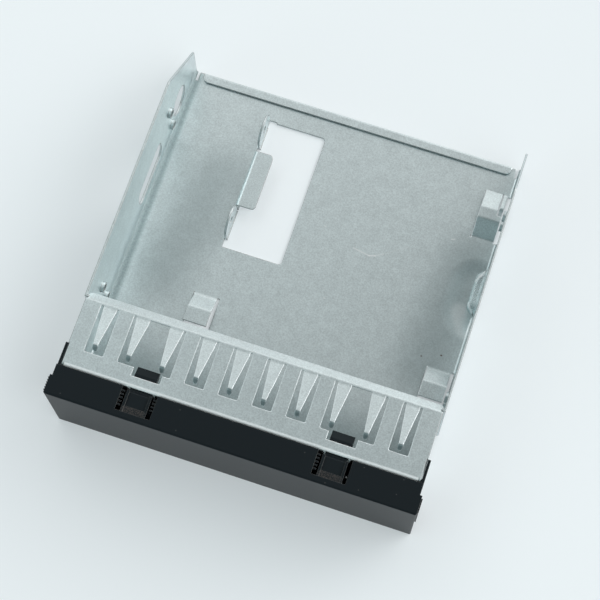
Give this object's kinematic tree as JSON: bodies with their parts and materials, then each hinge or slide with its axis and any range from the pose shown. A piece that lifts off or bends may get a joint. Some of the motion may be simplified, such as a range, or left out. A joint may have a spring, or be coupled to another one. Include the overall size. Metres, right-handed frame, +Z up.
{
  "type": "drive bay blank",
  "caption": "Blank for a half-height drive bay: a folded sheet steel tray with spring fingers along its top strip, and a clip-on moulded plastic bezel.",
  "frame": {"origin": "middle of the footprint, on the surface that the blank stands on", "axes": "+X to the right of someone facing the bezel, +Y from the bezel towards the rear of the bay, +Z up"},
  "size_m": [0.1496, 0.1614, 0.0442],
  "materials": {
    "zinc_plated_steel": "zinc-plated, dull with a fine grain",
    "black_abs": "moulded, fine matt texture"
  },
  "bodies": {
    "root": {"steel_tray": "zinc_plated_steel", "bezel": "black_abs"}
  },
  "joints": []
}
